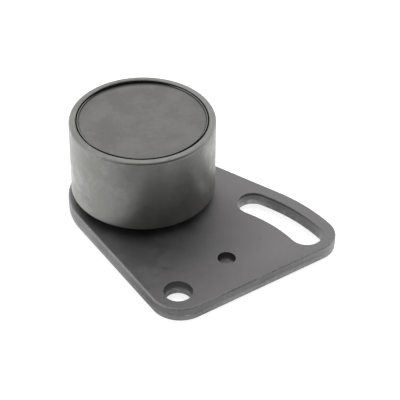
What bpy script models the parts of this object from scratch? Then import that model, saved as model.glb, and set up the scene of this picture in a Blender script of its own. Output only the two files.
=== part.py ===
"""Timing belt tensioner pulley: a sealed double-row ball bearing roller riveted on a stamped plate.

The origin is on the roller's axis at the plate's mounting face, +Z runs along the axis towards
the roller's cap, and the pivot hole lies on -Y. Sizes are named in millimetres and turned into
metres by MM.
"""
import math

import bmesh
import bpy
from mathutils import Vector

MM = 0.001

# Clearances of the solids
SEAT_GAP = 0.3 * MM          # between faces that seat on each other
RACE_GAP = 0.3 * MM          # between a ball and its raceway or pocket

# Base plate
PLATE_THICKNESS = 6.0 * MM
EDGE_ROLL = 0.8 * MM         # rounding that stamping leaves on the outline's upper edge
HOLE_ROLL = 0.4 * MM         # and on the upper edges of the holes
PLATE_RIM = 1.9 * MM         # how far the plate stands out past the roller
PIVOT_DISTANCE = 64.2 * MM   # roller axis to pivot hole
PIVOT_HOLE_DIAMETER = 11.0 * MM
PIVOT_CORNER_RADIUS = 12.6 * MM
PIVOT_CORNER_SHIFT = Vector((1.3 * MM, 1.8 * MM))
SLOT_RADIUS = 62.4 * MM      # slot centre line, round the pivot hole
SLOT_WIDTH = 13.6 * MM
SLOT_START = math.radians(43.4)   # angles round the pivot, clockwise from the roller's axis
SLOT_END = math.radians(69.5)
SLOT_MARGIN = 5.5 * MM       # plate left outside the slot
END_CORNER_RADIUS = 11.1 * MM
TOOL_HOLE_DIAMETER = 7.0 * MM
TOOL_HOLE_DISTANCE = 27.4 * MM    # from the pivot hole
TOOL_HOLE_ANGLE = math.radians(57.9)

# Roller, which is the bearing's outer ring
ROLLER_DIAMETER = 60.0 * MM
ROLLER_WIDTH = 34.0 * MM
ROLLER_LIFT = 3.25 * MM      # gap between plate and roller
ROLLER_EDGE = 1.0 * MM
RIM_WIDTH = 3.1 * MM         # wall outside the cap's bore
BORE_CHAMFER = 0.4 * MM

# Balls and raceways
BALL_DIAMETER = 7.144 * MM   # 9/32 inch
BALL_SPACING = 3.4 * MM      # least room between two balls, for the cage's bars
ROW_INSET = 9.6 * MM         # a row's centre from the roller's end
HIGH_SHOULDER = math.radians(58)  # how far a high shoulder wraps the raceway, from its bottom
LOW_SHOULDER = math.radians(30)
RING_CHAMFER = 0.5 * MM
INNER_RING_OVERHANG = 4.9 * MM    # inner ring past the front row's centre

# Cages
CAGE_WALL = 2.8 * MM
CAGE_WEB = 0.9 * MM          # web behind the pockets
CAGE_FINGER = 2.4 * MM       # fingers past the balls' centre

# Stud
STUD_SHANK_DIAMETER = 14.0 * MM
RIVET_FLARE = 1.6 * MM       # widening and depth of the rivet's countersink
STUD_JOURNAL_DIAMETER = 17.0 * MM
STUD_SHOULDER_WIDTH = 2.6 * MM
STUD_HEAD_WIDTH = 2.4 * MM
STUD_HEAD_HEIGHT = 1.4 * MM
STUD_HEAD_ROUND = 0.6 * MM
STUD_CHAMFER = 0.4 * MM

# End cap and rear seal
CAP_RECESS = 0.8 * MM        # cap's face below the roller's rim
CAP_SHEET = 0.9 * MM
CAP_LIP_DROP = 0.2 * MM      # cap's flange below the roller's rim
CAP_BEND = 1.2 * MM
SEAL_RECESS = 0.7 * MM
SEAL_STEP = 1.4 * MM         # seal's bore outside the raceway's low shoulder
SEAL_THICKNESS = 2.0 * MM
SEAL_LIP_THICKNESS = 0.8 * MM
SEAL_LIP_REACH = 2.2 * MM

# Fineness of the round forms
ROLLER_SIDES = 68
RING_SIDES = 44
STUD_SIDES = 36
BALL_SIDES = 12
BALL_RINGS = 6
POCKET_SIDES = 14
GROOVE_STEPS = 5
CORNER_STEPS = 3
ROLL_STEPS = 2
CHORD_ERROR = 0.03 * MM      # how far a straight step may cut inside its arc

# Heights worked out from the sizes above
ROLLER_BOTTOM = PLATE_THICKNESS + ROLLER_LIFT
ROLLER_TOP = ROLLER_BOTTOM + ROLLER_WIDTH
BELT_CENTRE = (ROLLER_BOTTOM + ROLLER_TOP) / 2
ROW_HEIGHTS = {"rear": ROLLER_BOTTOM + ROW_INSET, "front": ROLLER_TOP - ROW_INSET}
CAP_UNDERSIDE = ROLLER_TOP - CAP_RECESS - CAP_SHEET
SEAL_BOTTOM = ROLLER_BOTTOM + SEAL_RECESS
SEAL_TOP = SEAL_BOTTOM + SEAL_THICKNESS
SHOULDER_TOP = ROLLER_BOTTOM + SEAT_GAP
INNER_RING_BOTTOM = SHOULDER_TOP + SEAT_GAP
INNER_RING_TOP = ROW_HEIGHTS["front"] + INNER_RING_OVERHANG

# Radii worked out from the sizes above
ROLLER_RADIUS = ROLLER_DIAMETER / 2
RACE_RADIUS = BALL_DIAMETER / 2 + RACE_GAP
CAP_BORE_RADIUS = ROLLER_RADIUS - RIM_WIDTH
JOURNAL_RADIUS = STUD_JOURNAL_DIAMETER / 2
SHANK_RADIUS = STUD_SHANK_DIAMETER / 2
RING_BORE_RADIUS = JOURNAL_RADIUS + SEAT_GAP
PIVOT = Vector((0.0, -PIVOT_DISTANCE))

# The balls run midway between the inner rings' bore and the roller's surface, and each row
# holds as many as the pitch circle has room for
PITCH_RADIUS = (RING_BORE_RADIUS + ROLLER_RADIUS) / 2
SEAL_BORE_RADIUS = PITCH_RADIUS + RACE_RADIUS * math.cos(LOW_SHOULDER) + SEAL_STEP
BALLS_PER_ROW = math.floor(2 * math.pi * PITCH_RADIUS / (BALL_DIAMETER + BALL_SPACING))


def clear_scene():
    """Remove every object of the open file."""
    for item in list(bpy.data.objects):
        bpy.data.objects.remove(item, do_unlink=True)


def make_material(name, colour, roughness, metallic):
    """Return a Principled BSDF material."""
    material = bpy.data.materials.new(name)
    material.use_nodes = True
    shader = material.node_tree.nodes["Principled BSDF"]
    shader.inputs["Base Color"].default_value = (*colour, 1.0)
    shader.inputs["Roughness"].default_value = roughness
    shader.inputs["Metallic"].default_value = metallic
    return material


def add_object(name, bm, material, location=(0.0, 0.0, 0.0), parent=None, sharp=math.radians(35)):
    """Turn a bmesh into a named object with one material and smooth round faces."""
    mesh = bpy.data.meshes.new(name)
    bm.to_mesh(mesh)
    bm.free()
    mesh.materials.append(material)
    mesh.shade_smooth()
    mesh.set_sharp_from_angle(angle=sharp)
    item = bpy.data.objects.new(name, mesh)
    bpy.context.collection.objects.link(item)
    item.location = location
    item.parent = parent
    return item


def add_pivot(name, location=(0.0, 0.0, 0.0), parent=None):
    """Add an empty that carries the pieces turning about its Z axis."""
    item = bpy.data.objects.new(name, None)
    bpy.context.collection.objects.link(item)
    item.location = location
    item.parent = parent
    return item


def arc(centre, radius, start, end, steps):
    """Return points on an arc, both ends included."""
    angles = [start + (end - start) * step / steps for step in range(steps + 1)]
    return [Vector((centre[0] + radius * math.cos(a), centre[1] + radius * math.sin(a))) for a in angles]


def arc_steps(radius, start, end):
    """Return how many straight steps an arc gets."""
    step = 2 * math.acos(1 - CHORD_ERROR / radius)
    return max(1, math.ceil(abs(end - start) / step))


def drop_repeats(points, distance=0.001 * MM):
    """Return the closed outline's points without neighbours that coincide."""
    kept = []
    for point in points:
        if not kept or (point - kept[-1]).length > distance:
            kept.append(point)
    if (kept[0] - kept[-1]).length <= distance:
        kept.pop()
    return kept


def circle_outline(centre, radius, outset=0.0):
    """Return a full circle's points, counterclockwise, moved outwards by outset."""
    steps = arc_steps(radius, 0.0, 2 * math.pi)
    return arc(centre, radius + outset, 0.0, 2 * math.pi, steps)[:-1]


def belt_outline(circles, inset=0.0):
    """Return the outline of a belt drawn counterclockwise round circles of (centre, radius).

    The inset moves the whole outline inwards, and leaves its number of points as it is.
    """
    normals = []
    for index, (centre, radius) in enumerate(circles):
        next_centre, next_radius = circles[(index + 1) % len(circles)]
        span = next_centre - centre
        lean = math.acos(max(-1.0, min(1.0, (radius - next_radius) / span.length)))
        normals.append(math.atan2(span.y, span.x) - lean)
    points = []
    for index, (centre, radius) in enumerate(circles):
        start, end = normals[index - 1], normals[index]
        end = start + (end - start) % (2 * math.pi)
        points += arc(centre, radius - inset, start, end, arc_steps(radius, start, end))
    return drop_repeats(points)


def around_pivot(distance, angle):
    """Return the place at a distance from the pivot, clockwise from the roller's axis."""
    return PIVOT + Vector((distance * math.sin(angle), distance * math.cos(angle)))


def plate_outline(inset):
    """Return the plate's outline, moved inwards by inset."""
    rim = SLOT_RADIUS + SLOT_WIDTH / 2 + SLOT_MARGIN
    circles = [
        (Vector((0.0, 0.0)), ROLLER_RADIUS + PLATE_RIM),
        (PIVOT + PIVOT_CORNER_SHIFT, PIVOT_CORNER_RADIUS),
        (around_pivot(rim - END_CORNER_RADIUS, SLOT_END), END_CORNER_RADIUS),
        (PIVOT, rim),
    ]
    return belt_outline(circles, inset)


def slot_outline(outset):
    """Return the curved slot's outline, moved outwards by outset."""
    half = SLOT_WIDTH / 2 + outset
    first = math.pi / 2 - SLOT_START
    last = math.pi / 2 - SLOT_END
    side_steps = arc_steps(SLOT_RADIUS, last, first)
    end_steps = arc_steps(SLOT_WIDTH / 2, 0.0, math.pi)
    start_centre = around_pivot(SLOT_RADIUS, SLOT_START)
    end_centre = around_pivot(SLOT_RADIUS, SLOT_END)
    points = arc(PIVOT, SLOT_RADIUS + half, last, first, side_steps)
    points += arc(start_centre, half, first, first + math.pi, end_steps)
    points += arc(PIVOT, SLOT_RADIUS - half, first, last, side_steps)
    points += arc(end_centre, half, last + math.pi, last + 2 * math.pi, end_steps)
    return drop_repeats(points)


def add_loop(bm, outline, height):
    """Add a ring of vertices at a height and return them."""
    return [bm.verts.new((point.x, point.y, height)) for point in outline]


def loop_edges(bm, loop):
    """Return the edges along a ring of vertices, made where they are missing."""
    edges = []
    for index, vert in enumerate(loop):
        pair = (vert, loop[(index + 1) % len(loop)])
        edges.append(bm.edges.get(pair) or bm.edges.new(pair))
    return edges


def join_loops(bm, lower, upper):
    """Fill the wall between two rings of equal count."""
    count = len(lower)
    for index in range(count):
        after = (index + 1) % count
        bm.faces.new((lower[index], lower[after], upper[after], upper[index]))


def stamped_plate(outlines):
    """Return a plate whose walls follow outline functions of (inset, height) pairs.

    Each entry of outlines is a function of the inset into the metal, and the list of
    (inset, height) pairs from the lower face to the upper one.
    """
    bm = bmesh.new()
    lower_edges, upper_edges = [], []
    for outline, profile in outlines:
        loops = [add_loop(bm, outline(inset), height) for inset, height in profile]
        for lower, upper in zip(loops, loops[1:]):
            join_loops(bm, lower, upper)
        lower_edges += loop_edges(bm, loops[0])
        upper_edges += loop_edges(bm, loops[-1])
    for edges in (lower_edges, upper_edges):
        bmesh.ops.triangle_fill(bm, edges=edges, use_beauty=True, use_dissolve=False)
    bmesh.ops.recalc_face_normals(bm, faces=bm.faces)
    return bm


def turned(profile, sides):
    """Return the solid turned about Z from a closed profile of (radius, height) points.

    Points on the axis become one vertex each, so a profile that starts and ends on the axis
    gives a solid with no bore.
    """
    bm = bmesh.new()
    rings = []
    for radius, height in profile:
        if radius < 1e-9:
            rings.append([bm.verts.new((0.0, 0.0, height))])
            continue
        outline = [Vector((radius * math.cos(a), radius * math.sin(a)))
                   for a in (2 * math.pi * side / sides for side in range(sides))]
        rings.append(add_loop(bm, outline, height))
    for index, ring in enumerate(rings):
        other = rings[(index + 1) % len(rings)]
        if len(ring) == 1 and len(other) == 1:
            continue
        for side in range(sides):
            after = (side + 1) % sides
            corners = [ring[side % len(ring)], ring[after % len(ring)],
                       other[after % len(other)], other[side % len(other)]]
            bm.faces.new(list(dict.fromkeys(corners)))
    bmesh.ops.recalc_face_normals(bm, faces=bm.faces)
    return bm


def race_arc(height, lower_wrap, upper_wrap, side):
    """Return a raceway's profile going up, from its lower shoulder to its upper one.

    side is 1 for the groove in the outer ring and -1 for the one in the inner ring.
    """
    centre = (0.0, height)
    return [(PITCH_RADIUS + side * point.x, point.y)
            for point in arc(centre, RACE_RADIUS, -lower_wrap, upper_wrap, GROOVE_STEPS)]


def rounded(corner_radius, radius, height, upper):
    """Return the profile of an outer edge's rounding, going down; upper is which end it is on."""
    if upper:
        centre, start = (radius - corner_radius, height - corner_radius), math.pi / 2
    else:
        centre, start = (radius - corner_radius, height + corner_radius), 0.0
    return arc(centre, corner_radius, start, start - math.pi / 2, CORNER_STEPS)


def rolled_edge(radius):
    """Return a stamped wall's (inset, height) pairs, straight up to a quarter round at the top."""
    round_off = arc((radius, PLATE_THICKNESS - radius), radius, math.pi, math.pi / 2, ROLL_STEPS)
    return [(0.0, 0.0)] + [(point.x, point.y) for point in round_off]


def build_base_plate(material):
    """Stamped plate with the pivot hole, the adjusting slot, the tool hole and the stud's seat."""
    edge = rolled_edge(EDGE_ROLL)
    hole_edge = rolled_edge(HOLE_ROLL)
    tool_hole = around_pivot(TOOL_HOLE_DISTANCE, TOOL_HOLE_ANGLE)
    seat = SHANK_RADIUS + SEAT_GAP
    stud_seat = [(RIVET_FLARE, 0.0), (0.0, RIVET_FLARE), (0.0, PLATE_THICKNESS)]
    bm = stamped_plate([
        (plate_outline, edge),
        (lambda inset: circle_outline(PIVOT, PIVOT_HOLE_DIAMETER / 2, inset), hole_edge),
        (lambda inset: circle_outline(tool_hole, TOOL_HOLE_DIAMETER / 2, inset), hole_edge),
        (slot_outline, hole_edge),
        (lambda inset: circle_outline(Vector((0.0, 0.0)), seat, inset), stud_seat),
    ])
    return add_object("base_plate", bm, material, sharp=math.radians(30))


def build_stud(material):
    """Turned stud: riveted flush in the plate, shoulder, journal and a formed head."""
    shoulder = JOURNAL_RADIUS + STUD_SHOULDER_WIDTH
    head = JOURNAL_RADIUS + STUD_HEAD_WIDTH
    head_bottom = INNER_RING_TOP + SEAT_GAP
    head_top = head_bottom + STUD_HEAD_HEIGHT
    shoulder_bottom = PLATE_THICKNESS + SEAT_GAP
    profile = [
        (0.0, 0.0),
        (SHANK_RADIUS + RIVET_FLARE, 0.0),
        (SHANK_RADIUS, RIVET_FLARE),
        (SHANK_RADIUS, shoulder_bottom),
        (shoulder - STUD_CHAMFER, shoulder_bottom),
        (shoulder, shoulder_bottom + STUD_CHAMFER),
        (shoulder, SHOULDER_TOP - STUD_CHAMFER),
        (shoulder - STUD_CHAMFER, SHOULDER_TOP),
        (JOURNAL_RADIUS, SHOULDER_TOP),
        (JOURNAL_RADIUS, head_bottom),
        (head, head_bottom),
        *reversed(rounded(STUD_HEAD_ROUND, head, head_top, upper=True)),
        (0.0, head_top),
    ]
    return add_object("pulley_stud", turned(profile, STUD_SIDES), material)


def ring_shoulders(side):
    """Return a ring's high and low shoulder radii; side is 1 outside the balls and -1 inside."""
    return (PITCH_RADIUS + side * RACE_RADIUS * math.cos(HIGH_SHOULDER),
            PITCH_RADIUS + side * RACE_RADIUS * math.cos(LOW_SHOULDER))


def build_inner_ring(name, row, material):
    """Half of the split inner ring, with its high shoulder away from the middle."""
    high, low = ring_shoulders(-1)
    height = ROW_HEIGHTS[row]
    if row == "rear":
        bottom, top = INNER_RING_BOTTOM, BELT_CENTRE - SEAT_GAP / 2
        groove = race_arc(height, HIGH_SHOULDER, LOW_SHOULDER, -1)
        face = [(high - RING_CHAMFER, bottom), (high, bottom + RING_CHAMFER), *groove, (low, top)]
    else:
        bottom, top = BELT_CENTRE + SEAT_GAP / 2, INNER_RING_TOP
        groove = race_arc(height, LOW_SHOULDER, HIGH_SHOULDER, -1)
        face = [(low, bottom), *groove, (high, top - RING_CHAMFER), (high - RING_CHAMFER, top)]
    profile = [*face, (RING_BORE_RADIUS, top), (RING_BORE_RADIUS, bottom)]
    return add_object(name, turned(profile, RING_SIDES), material)


def build_roller(material, parent):
    """Plain roller that is the bearing's outer ring, with both raceways and the cap's bore."""
    _, low = ring_shoulders(1)
    cap_seat = CAP_UNDERSIDE - SEAT_GAP
    seal_seat = SEAL_TOP + SEAT_GAP
    profile = [
        *rounded(ROLLER_EDGE, ROLLER_RADIUS, ROLLER_TOP, upper=True),
        *rounded(ROLLER_EDGE, ROLLER_RADIUS, ROLLER_BOTTOM, upper=False),
        (SEAL_BORE_RADIUS + BORE_CHAMFER, ROLLER_BOTTOM),
        (SEAL_BORE_RADIUS, ROLLER_BOTTOM + BORE_CHAMFER),
        (SEAL_BORE_RADIUS, seal_seat),
        (low, seal_seat),
        *race_arc(ROW_HEIGHTS["rear"], LOW_SHOULDER, HIGH_SHOULDER, 1),
        *race_arc(ROW_HEIGHTS["front"], HIGH_SHOULDER, LOW_SHOULDER, 1),
        (low, cap_seat),
        (CAP_BORE_RADIUS, cap_seat),
        (CAP_BORE_RADIUS, ROLLER_TOP - BORE_CHAMFER),
        (CAP_BORE_RADIUS + BORE_CHAMFER, ROLLER_TOP),
    ]
    return add_object("idler_roller", turned(profile, ROLLER_SIDES), material, parent=parent)


def build_end_cap(material, parent):
    """Pressed sheet cap: a flat face and a flange that stands up along the roller's bore."""
    outside = CAP_BORE_RADIUS - SEAT_GAP
    inside = outside - CAP_SHEET
    face = ROLLER_TOP - CAP_RECESS
    lip = ROLLER_TOP - CAP_LIP_DROP
    inner_bend = CAP_BEND - CAP_SHEET
    profile = [
        (0.0, face),
        *arc((inside - inner_bend, face + inner_bend), inner_bend, -math.pi / 2, 0.0, CORNER_STEPS),
        (inside, lip),
        (outside, lip),
        *rounded(CAP_BEND, outside, CAP_UNDERSIDE, upper=False),
        (0.0, CAP_UNDERSIDE),
    ]
    return add_object("end_cap", turned(profile, ROLLER_SIDES), material, parent=parent)


def build_rear_seal(material, parent):
    """Moulded seal in the roller's rear bore, with a thin lip that reaches for the inner ring."""
    high, _ = ring_shoulders(-1)
    outside = SEAL_BORE_RADIUS - SEAT_GAP
    lip = high + SEAT_GAP
    root = lip + SEAL_LIP_REACH
    lip_bottom = (SEAL_BOTTOM + SEAL_TOP - SEAL_LIP_THICKNESS) / 2
    profile = [
        (outside, SEAL_TOP),
        (outside, SEAL_BOTTOM),
        (root, SEAL_BOTTOM),
        (root - SEAL_LIP_THICKNESS, lip_bottom),
        (lip, lip_bottom),
        (lip, lip_bottom + SEAL_LIP_THICKNESS),
        (root - SEAL_LIP_THICKNESS, lip_bottom + SEAL_LIP_THICKNESS),
        (root, SEAL_TOP),
    ]
    return add_object("rear_seal", turned(profile, RING_SIDES), material, parent=parent)


def ball_places():
    """Return the balls' places on the pitch circle."""
    angles = [2 * math.pi * index / BALLS_PER_ROW for index in range(BALLS_PER_ROW)]
    return [(PITCH_RADIUS * math.cos(a), PITCH_RADIUS * math.sin(a), a) for a in angles]


def pocket_cutter(name, height):
    """Return a hidden cutter with one round bar through the cage at each ball."""
    bm = bmesh.new()
    for _, _, angle in ball_places():
        bar = bmesh.ops.create_cone(bm, cap_ends=True, segments=POCKET_SIDES, radius1=RACE_RADIUS,
                                    radius2=RACE_RADIUS, depth=CAGE_WALL * 3)
        axis = Vector((math.cos(angle), math.sin(angle), 0.0))
        turn = Vector((0.0, 0.0, 1.0)).rotation_difference(axis).to_matrix()
        bmesh.ops.rotate(bm, verts=bar["verts"], cent=(0.0, 0.0, 0.0), matrix=turn)
        bmesh.ops.translate(bm, verts=bar["verts"], vec=axis * PITCH_RADIUS + Vector((0.0, 0.0, height)))
    mesh = bpy.data.meshes.new(name)
    bm.to_mesh(mesh)
    bm.free()
    item = bpy.data.objects.new(name, mesh)
    bpy.context.collection.objects.link(item)
    item.hide_render = True
    item.display_type = "WIRE"
    return item


def build_cage(row, material, parent):
    """Moulded crown cage, its web on the outer side of the row and its pockets open inwards."""
    outward = {"rear": -1.0, "front": 1.0}[row]
    height = ROW_HEIGHTS[row]
    web_side = height + outward * (RACE_RADIUS + CAGE_WEB)
    finger_side = height - outward * CAGE_FINGER
    inner, outer = PITCH_RADIUS - CAGE_WALL / 2, PITCH_RADIUS + CAGE_WALL / 2
    profile = [(outer, web_side), (outer, finger_side), (inner, finger_side), (inner, web_side)]
    name = f"cage_{row}"
    cage = add_object(name, turned(profile, BALLS_PER_ROW * 4), material)
    cutter = pocket_cutter(f"{name}_pockets", height)
    cut = cage.modifiers.new("pockets", "BOOLEAN")
    cut.operation = "DIFFERENCE"
    cut.object = cutter
    cage.parent = parent
    return cage


def build_balls(row, material, parent):
    """One ball for each pocket of a row, each with its origin at its centre."""
    bm = bmesh.new()
    bmesh.ops.create_uvsphere(bm, u_segments=BALL_SIDES, v_segments=BALL_RINGS, radius=BALL_DIAMETER / 2)
    first = None
    for index, (x, y, _) in enumerate(ball_places(), start=1):
        place = (x, y, ROW_HEIGHTS[row])
        name = f"ball_{row}_{index:02d}"
        if first is None:
            first = add_object(name, bm, material, place, parent)
            continue
        ball = bpy.data.objects.new(name, first.data)
        bpy.context.collection.objects.link(ball)
        ball.location = place
        ball.parent = parent


def build():
    """Build the whole tensioner pulley."""
    clear_scene()
    plate_steel = make_material("plate_steel", (0.075, 0.073, 0.073), 0.45, 0.9)
    stud_steel = make_material("stud_steel", (0.30, 0.30, 0.29), 0.35, 1.0)
    roller_steel = make_material("roller_steel", (0.27, 0.27, 0.26), 0.32, 1.0)
    cap_steel = make_material("cap_steel", (0.22, 0.22, 0.21), 0.40, 1.0)
    bearing_steel = make_material("bearing_steel", (0.55, 0.55, 0.56), 0.12, 1.0)
    cage_plastic = make_material("cage_plastic", (0.45, 0.38, 0.27), 0.55, 0.0)
    seal_rubber = make_material("seal_rubber", (0.03, 0.03, 0.03), 0.60, 0.0)

    build_base_plate(plate_steel)
    build_stud(stud_steel)
    build_inner_ring("inner_ring_rear", "rear", bearing_steel)
    build_inner_ring("inner_ring_front", "front", bearing_steel)

    roller_axis = add_pivot("roller_axis")
    build_roller(roller_steel, roller_axis)
    build_end_cap(cap_steel, roller_axis)
    build_rear_seal(seal_rubber, roller_axis)
    for row in ROW_HEIGHTS:
        cage_axis = add_pivot(f"cage_{row}_axis")
        build_cage(row, cage_plastic, cage_axis)
        build_balls(row, bearing_steel, cage_axis)


build()
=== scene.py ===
"""Looks of a timing belt tensioner pulley: a ground steel roller with a pressed cap on a stamped plate.

The frame's origin is on the roller's axis at the plate's mounting face, +Z runs towards the cap
and the pivot hole lies on -Y. Lengths are in metres, and MM turns millimetres into them.
"""
from __future__ import annotations

import logging
import math
from collections.abc import Iterable, Sequence
from dataclasses import dataclass, field
from enum import Enum

import bmesh
import bpy
from mathutils import Matrix, Vector

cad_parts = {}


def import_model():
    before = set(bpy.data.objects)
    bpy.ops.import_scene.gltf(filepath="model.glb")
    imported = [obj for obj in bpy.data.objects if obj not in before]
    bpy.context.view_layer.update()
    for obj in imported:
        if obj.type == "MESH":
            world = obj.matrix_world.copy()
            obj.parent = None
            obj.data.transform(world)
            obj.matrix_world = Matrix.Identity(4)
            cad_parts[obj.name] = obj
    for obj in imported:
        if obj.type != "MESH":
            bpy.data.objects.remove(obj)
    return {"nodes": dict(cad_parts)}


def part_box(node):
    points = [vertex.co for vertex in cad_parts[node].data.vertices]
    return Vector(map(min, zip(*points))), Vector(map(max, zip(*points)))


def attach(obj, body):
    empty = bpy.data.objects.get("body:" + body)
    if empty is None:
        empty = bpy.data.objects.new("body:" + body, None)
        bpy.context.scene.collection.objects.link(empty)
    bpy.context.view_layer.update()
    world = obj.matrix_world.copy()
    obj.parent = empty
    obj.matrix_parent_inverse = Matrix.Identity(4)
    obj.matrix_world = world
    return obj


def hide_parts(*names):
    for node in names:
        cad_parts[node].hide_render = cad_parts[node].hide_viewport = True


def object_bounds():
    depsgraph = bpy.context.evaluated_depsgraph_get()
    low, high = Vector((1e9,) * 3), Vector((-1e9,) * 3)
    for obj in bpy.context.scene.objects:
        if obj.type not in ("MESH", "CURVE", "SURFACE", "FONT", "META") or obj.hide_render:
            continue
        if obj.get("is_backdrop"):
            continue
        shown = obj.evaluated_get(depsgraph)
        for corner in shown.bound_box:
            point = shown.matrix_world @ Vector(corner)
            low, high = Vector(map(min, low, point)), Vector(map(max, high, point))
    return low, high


MM = 0.001
SEAT_GAP = 0.3 * MM
LOG = logging.getLogger("tensioner_pulley")

Point = tuple[float, float]
Place = tuple[float, float, float]
Colour = tuple[float, float, float]
Socket = bpy.types.NodeSocket

BLACK: Colour = (0.0, 0.0, 0.0)
# Near-black of oil in the gap between roller and cap, which also stands in as painted shade of the gap
JOINT_OIL_AND_SHADE: Colour = (0.012, 0.012, 0.012)
WHITE_LIGHT = (1.0, 1.0, 1.0, 1.0)


class Lay(Enum):
    """The direction in which tool marks run on a surface."""

    CIRCULAR = "round the roller's axis"
    UPRIGHT = "up and down a cut wall"
    LEVEL = "along a cut wall"
    ROLLED = "along the rolled sheet"


class Row(Enum):
    """The two rows of balls."""

    REAR = "rear"
    FRONT = "front"


# Plane geometry


def arc(centre: Point, radius: float, start: float, end: float, steps: int) -> list[Point]:
    """Return points on an arc.

    Args:
        centre: Centre of the arc.
        radius: Radius of the arc.
        start: First angle, in radians.
        end: Last angle, in radians.
        steps: Number of straight steps.

    Returns:
        The points in order, both ends included.
    """
    angles = [start + (end - start) * step / steps for step in range(steps + 1)]
    return [(centre[0] + radius * math.cos(a), centre[1] + radius * math.sin(a)) for a in angles]


def ease(value: float, low: float, high: float) -> float:
    """Return how far a value has gone from low to high, as a smooth share from 0 to 1."""
    share = max(0.0, min(1.0, (value - low) / (high - low)))
    return share * share * (3 - 2 * share)


def rounded(corner: Point, radius: float, side: Point, steps: int = 8) -> list[Point]:
    """Return a quarter round in a turned profile, from the corner's flat face to its wall.

    Args:
        corner: The sharp corner as (radius, height).
        radius: Radius of the rounding.
        side: Signs of the directions from the round's centre to the corner.
        steps: Number of straight steps.

    Returns:
        The points from the end on the face, at the corner's height, to the end on the wall.
    """
    centre = (corner[0] - side[0] * radius, corner[1] - side[1] * radius)
    face = math.atan2(side[1], 0.0)
    wall = math.atan2(0.0, side[0])
    if abs(wall - face) > math.pi:
        wall -= math.copysign(2 * math.pi, wall - face)
    return arc(centre, radius, face, wall, steps)


def hold(profile: Sequence[Point], distance: float = 0.06 * MM) -> list[Point]:
    """Add points close to both ends of a closed profile's long runs, which keeps flats flat.

    Args:
        profile: The closed profile.
        distance: How far the added points lie from the ends.

    Returns:
        The profile with the added points.
    """
    held: list[Point] = []
    for first, second in zip(profile, [*profile[1:], profile[0]]):
        held.append(first)
        length = math.dist(first, second)
        if length > 5 * distance and max(first[0], second[0]) > 0:
            for share in (distance / length, 1 - distance / length):
                held.append((first[0] + (second[0] - first[0]) * share,
                             first[1] + (second[1] - first[1]) * share))
    return held


@dataclass(frozen=True)
class Arc:
    """A round stretch of a cut outline, walked with the metal on its left."""

    centre: Vector
    radius: float
    start: float
    end: float
    side: int

    def place(self, share: float) -> tuple[Vector, Vector]:
        """Return the point at a share of the arc and the direction away from the metal."""
        angle = self.start + (self.end - self.start) * share
        radial = Vector((math.cos(angle), math.sin(angle)))
        return self.centre + radial * self.radius, radial * self.side

    def steps(self, longest: float) -> int:
        """Return how many steps of at most the longest length the arc takes."""
        return max(3, math.ceil(abs(self.end - self.start) * self.radius / longest))


def walk(arcs: Sequence[Arc], longest: float) -> list[tuple[Vector, Vector]]:
    """Return places along arcs and along the straight lines that join them.

    Args:
        arcs: The arcs of a closed outline, in order.
        longest: Longest step between two places.

    Returns:
        Pairs of a point and the direction away from the metal.
    """
    places: list[tuple[Vector, Vector]] = []
    for stretch, following in zip(arcs, [*arcs[1:], arcs[0]]):
        steps = stretch.steps(longest)
        places += [stretch.place(step / steps) for step in range(steps)]
        tip, outward = stretch.place(1.0)
        target, _ = following.place(0.0)
        gap = (target - tip).length
        if gap > longest / 10:
            steps = math.ceil(gap / longest)
            places += [(tip.lerp(target, step / steps), outward) for step in range(steps)]
    return places


def belt(circles: Sequence[tuple[Vector, float]]) -> list[Arc]:
    """Return the arcs of a belt drawn round circles, with the metal inside it.

    Args:
        circles: Centres and radii, in counterclockwise order.

    Returns:
        One arc for each circle.
    """
    tangents: list[float] = []
    for (centre, radius), (other, other_radius) in zip(circles, [*circles[1:], circles[0]]):
        span = other - centre
        lean = math.acos(max(-1.0, min(1.0, (radius - other_radius) / span.length)))
        tangents.append(math.atan2(span.y, span.x) - lean)
    arcs: list[Arc] = []
    for index, (centre, radius) in enumerate(circles):
        start = tangents[index - 1]
        turn = (tangents[index] - start) % (2 * math.pi)
        arcs.append(Arc(centre, radius, start, start + turn, 1))
    return arcs


# Meshes


def turned_mesh(name: str, profile: Sequence[Point], sides: int) -> bpy.types.Mesh:
    """Turn a closed profile about Z into a closed mesh.

    Args:
        name: Name of the mesh.
        profile: Points as (radius, height), those on the axis with a radius of zero.
        sides: Number of sides of the round.

    Returns:
        The mesh, with its faces pointing outwards.
    """
    bm = bmesh.new()
    rings: list[list[bmesh.types.BMVert]] = []
    turns = [2 * math.pi * side / sides for side in range(sides)]
    for radius, height in profile:
        if radius < 1e-9:
            rings.append([bm.verts.new((0.0, 0.0, height))])
        else:
            rings.append([bm.verts.new((radius * math.cos(a), radius * math.sin(a), height)) for a in turns])
    for ring, other in zip(rings, [*rings[1:], rings[0]]):
        if len(ring) == 1 and len(other) == 1:
            continue
        for side in range(sides):
            after = (side + 1) % sides
            corners = (ring[side % len(ring)], ring[after % len(ring)],
                       other[after % len(other)], other[side % len(other)])
            bm.faces.new(list(dict.fromkeys(corners)))
    bmesh.ops.recalc_face_normals(bm, faces=bm.faces)
    return finish_mesh(name, bm)


def finish_mesh(name: str, bm: bmesh.types.BMesh, crease: float = 32.0) -> bpy.types.Mesh:
    """Turn a bmesh into a smooth mesh with sharp creases.

    Args:
        name: Name of the mesh.
        bm: The bmesh, which is freed.
        crease: Angle in degrees from which an edge is sharp.

    Returns:
        The mesh.
    """
    mesh = bpy.data.meshes.new(name)
    bm.to_mesh(mesh)
    bm.free()
    mesh.shade_smooth()
    mesh.set_sharp_from_angle(angle=math.radians(crease))
    return mesh


def new_object(name: str, data: bpy.types.ID) -> bpy.types.Object:
    """Link an object that shows a mesh, a lamp or a camera and return it."""
    item = bpy.data.objects.new(name, data)
    bpy.context.scene.collection.objects.link(item)
    return item


# Node trees


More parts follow.
